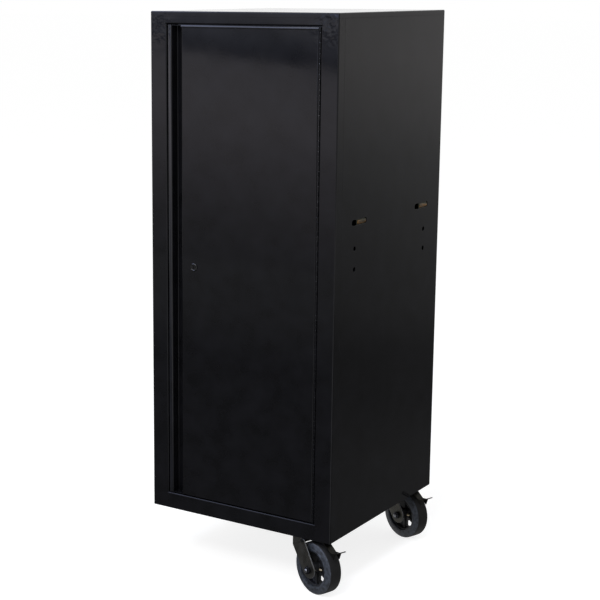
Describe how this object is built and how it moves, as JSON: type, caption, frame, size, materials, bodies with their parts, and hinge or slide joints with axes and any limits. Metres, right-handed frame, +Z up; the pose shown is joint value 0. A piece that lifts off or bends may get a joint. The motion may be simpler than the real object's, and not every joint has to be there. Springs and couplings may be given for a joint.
{
  "type": "tool chest side locker",
  "caption": "Tall sheet-metal side locker with one full-height door on a piano hinge, a full-height finger pull, a key lock, shelves, side mounting holes and two braked swivel casters.",
  "frame": {"origin": "middle of the whole footprint, on the floor", "axes": "+Z up, -Y to the front (the door), +X to the right, over the casters"},
  "size_m": [0.5506, 0.5474, 1.3555],
  "materials": {
    "black_paint": "semi-gloss black powder coat",
    "yellow_zinc": "yellow zinc plate",
    "bright_zinc": "bright zinc plate",
    "black_oxide": "oiled black oxide",
    "caster_steel": "dull zinc plate",
    "lock_black": "gloss black lacquer",
    "tyre": "smooth black rubber",
    "wheel_core": "moulded dark grey nylon",
    "bush_bronze": "sintered bronze",
    "bumper_rubber": "matt black rubber"
  },
  "bodies": {
    "cabinet": {"side_panel_left": "black_paint", "side_panel_right": "black_paint", "hook_keepers_left": "yellow_zinc", "hook_keepers_right": "yellow_zinc", "front_post_left": "black_paint", "front_post_right": "black_paint", "rail_top": "black_paint", "rail_bottom": "black_paint", "top_panel": "black_paint", "back_panel": "black_paint", "floor_pan": "black_paint", "base_channel_front": "black_paint", "base_channel_rear": "black_paint", "shelf_standards": "bright_zinc", "shelf_clips": "bright_zinc", "shelf_lower": "black_paint", "shelf_middle": "black_paint", "shelf_upper": "black_paint", "strike": "bright_zinc", "door_bumpers": "bumper_rubber", "hinge_leaf_frame": "black_paint", "hinge_pin": "bright_zinc", "caster_plate_front": "caster_steel", "caster_plate_rear": "caster_steel", "kingpin_front": "bright_zinc", "kingpin_rear": "bright_zinc", "caster_bolts": "bright_zinc"},
    "door": {"door_skin": "black_paint", "door_pull": "black_paint", "pull_end_caps": "black_paint", "door_liner": "black_paint", "lock_housing": "lock_black", "lock_nut": "bright_zinc", "hinge_leaf_door": "black_paint"},
    "lock": {"lock_plug": "lock_black", "lock_cam": "bright_zinc", "cam_screw": "bright_zinc"},
    "swivel_front": {"caster_fork_front": "caster_steel", "bearing_ring_front": "caster_steel", "axle_bolt_front": "black_oxide", "axle_nut_front": "black_oxide", "brake_pin_front": "black_oxide"},
    "wheel_front": {"wheel_core_front": "wheel_core", "wheel_bush_front": "bush_bronze", "tyre_front": "tyre"},
    "brake_front": {"brake_lever_front": "caster_steel"},
    "swivel_rear": {"caster_fork_rear": "caster_steel", "bearing_ring_rear": "caster_steel", "axle_bolt_rear": "black_oxide", "axle_nut_rear": "black_oxide", "brake_pin_rear": "black_oxide"},
    "wheel_rear": {"wheel_core_rear": "wheel_core", "wheel_bush_rear": "bush_bronze", "tyre_rear": "tyre"},
    "brake_rear": {"brake_lever_rear": "caster_steel"}
  },
  "joints": [
    {"name": "door_hinge", "type": "hinge", "parent": "cabinet", "child": "door", "pos_m": [0.18511, -0.2553, 0.751], "axis": [0, 0, 1], "range_deg": [0, 135]},
    {"name": "lock_turn", "type": "hinge", "parent": "door", "child": "lock", "pos_m": [-0.15129, -0.2283, 0.754], "axis": [0, -1, 0], "range_deg": [0, 90]},
    {"name": "swivel_front_turn", "type": "hinge", "parent": "cabinet", "child": "swivel_front", "pos_m": [0.15071, -0.2203, 0.148], "axis": [0, 0, 1], "continuous": true},
    {"name": "wheel_front_spin", "type": "hinge", "parent": "swivel_front", "child": "wheel_front", "pos_m": [0.19042, -0.23397, 0.0635], "axis": [0.3256, 0.9455, 0], "continuous": true},
    {"name": "brake_front_press", "type": "hinge", "parent": "swivel_front", "child": "brake_front", "pos_m": [0.16773, -0.22616, 0.1295], "axis": [0.3256, 0.9455, 0], "range_deg": [0, 5]},
    {"name": "swivel_rear_turn", "type": "hinge", "parent": "cabinet", "child": "swivel_rear", "pos_m": [0.15071, 0.2377, 0.148], "axis": [0, 0, 1], "continuous": true},
    {"name": "wheel_rear_spin", "type": "hinge", "parent": "swivel_rear", "child": "wheel_rear", "pos_m": [0.19042, 0.22403, 0.0635], "axis": [0.3256, 0.9455, 0], "continuous": true},
    {"name": "brake_rear_press", "type": "hinge", "parent": "swivel_rear", "child": "brake_rear", "pos_m": [0.16773, 0.23184, 0.1295], "axis": [0.3256, 0.9455, 0], "range_deg": [0, 5]}
  ]
}
